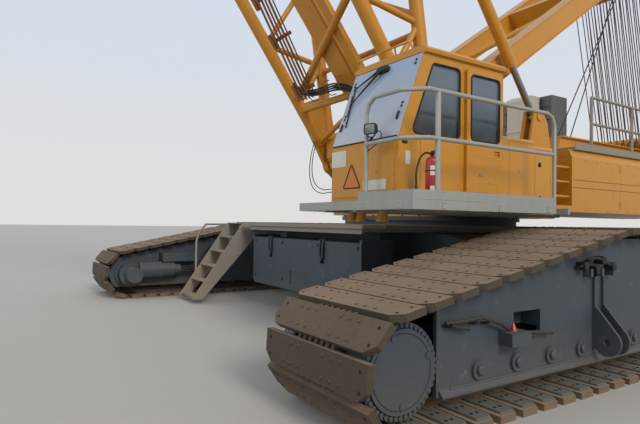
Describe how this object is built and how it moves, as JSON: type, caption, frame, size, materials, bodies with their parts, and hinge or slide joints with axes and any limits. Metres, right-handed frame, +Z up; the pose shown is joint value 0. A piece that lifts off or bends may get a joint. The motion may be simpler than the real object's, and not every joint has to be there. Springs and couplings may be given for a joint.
{
  "type": "crawler crane",
  "caption": "Tracked crane with a lattice boom, tilting arm frame, glazed cab and counterweight stacks; upper part slews, boom luffs, hook hangs plumb and cab door slides.",
  "frame": {"origin": "on the ground below the slewing axis", "axes": "+X towards the boom's side, +Y towards the cab's side, +Z up along the slewing axis"},
  "size_m": [20.3951, 10.346, 25.2044],
  "materials": {
    "yellow_paint": "satin",
    "blue_grey_paint": "satin",
    "grey_paint": "satin",
    "track_steel": "dusty",
    "rope_steel": "greasy",
    "sheave_steel": "satin",
    "glass": "gloss",
    "seat_fabric": "matt",
    "cream_paint": "satin"
  },
  "bodies": {
    "undercarriage": {"car_body": "blue_grey_paint", "side_frame_left": "blue_grey_paint", "side_frame_right": "blue_grey_paint", "track_left": "track_steel", "track_right": "track_steel", "drive_wheel_left": "blue_grey_paint", "drive_wheel_right": "blue_grey_paint", "drive_motors": "blue_grey_paint", "idler_left": "blue_grey_paint", "idler_right": "blue_grey_paint", "rollers_left": "blue_grey_paint", "rollers_right": "blue_grey_paint", "ballast_boxes": "blue_grey_paint", "deck": "grey_paint", "stairs": "grey_paint", "slewing_ring": "blue_grey_paint"},
    "superstructure": {"main_girders": "yellow_paint", "backstop_brackets": "yellow_paint", "platform": "grey_paint", "cab_shell": "yellow_paint", "windshield": "glass", "cab_glass": "glass", "operator_seat": "seat_fabric", "housing_left": "yellow_paint", "side_house_left": "yellow_paint", "side_house_right": "yellow_paint", "engine_block": "blue_grey_paint", "winches": "sheave_steel", "counterweights": "blue_grey_paint", "air_box": "cream_paint", "cab_railing": "grey_paint", "deck_railing": "grey_paint", "reeving_block": "yellow_paint"},
    "cab_door": {"cab_door": "yellow_paint", "cab_door_glass": "glass"},
    "a_frame": {"a_frame": "yellow_paint"},
    "boom": {"boom_foot": "yellow_paint", "boom_middle": "yellow_paint", "boom_head": "yellow_paint", "head_sheaves": "sheave_steel", "pendants": "rope_steel"},
    "backstop_tubes": {"backstop_tubes": "yellow_paint"},
    "backstop_rods": {"backstop_rods": "grey_paint"},
    "hook": {"hook_block": "yellow_paint", "hoist_ropes": "rope_steel"}
  },
  "joints": [
    {"name": "slew", "type": "hinge", "parent": "undercarriage", "child": "superstructure", "pos_m": [0, 0, 1.815], "axis": [0, 0, 1], "continuous": true},
    {"name": "boom_luff", "type": "hinge", "parent": "superstructure", "child": "boom", "pos_m": [1.425, 0, 2.944], "axis": [0, -1, 0], "range_deg": [-52.4, 14.6]},
    {"name": "a_frame_luff", "type": "hinge", "parent": "superstructure", "child": "a_frame", "pos_m": [1.425, 0, 2.944], "axis": [0, -1, 0], "range_deg": [-52.6, 14.8]},
    {"name": "backstop_swing", "type": "hinge", "parent": "boom", "child": "backstop_tubes", "pos_m": [2.06687, 0, 8.41224], "axis": [0, -1, 0], "range_deg": [-3.78, 13.04]},
    {"name": "backstop_slide", "type": "slide", "parent": "backstop_tubes", "child": "backstop_rods", "axis": [-0.605, 0, -0.7962], "range_m": [-0.6166, 2.1999]},
    {"name": "hook_swing", "type": "hinge", "parent": "boom", "child": "hook", "pos_m": [11.52514, 0, 24.73597], "axis": [0, -1, 0], "range_deg": [-14.8, 52.6]},
    {"name": "cab_door_slide", "type": "slide", "parent": "superstructure", "child": "cab_door", "axis": [-1, 0, 0], "range_m": [0, 0.65]}
  ],
  "couplings": [
    {"joint": "a_frame_luff", "follows": "boom_luff", "ratio": 1},
    {"joint": "backstop_swing", "follows": "boom_luff", "ratio": -0.245},
    {"joint": "backstop_slide", "follows": "boom_luff", "m_per_rad": -2.4},
    {"joint": "hook_swing", "follows": "boom_luff", "ratio": -1}
  ]
}
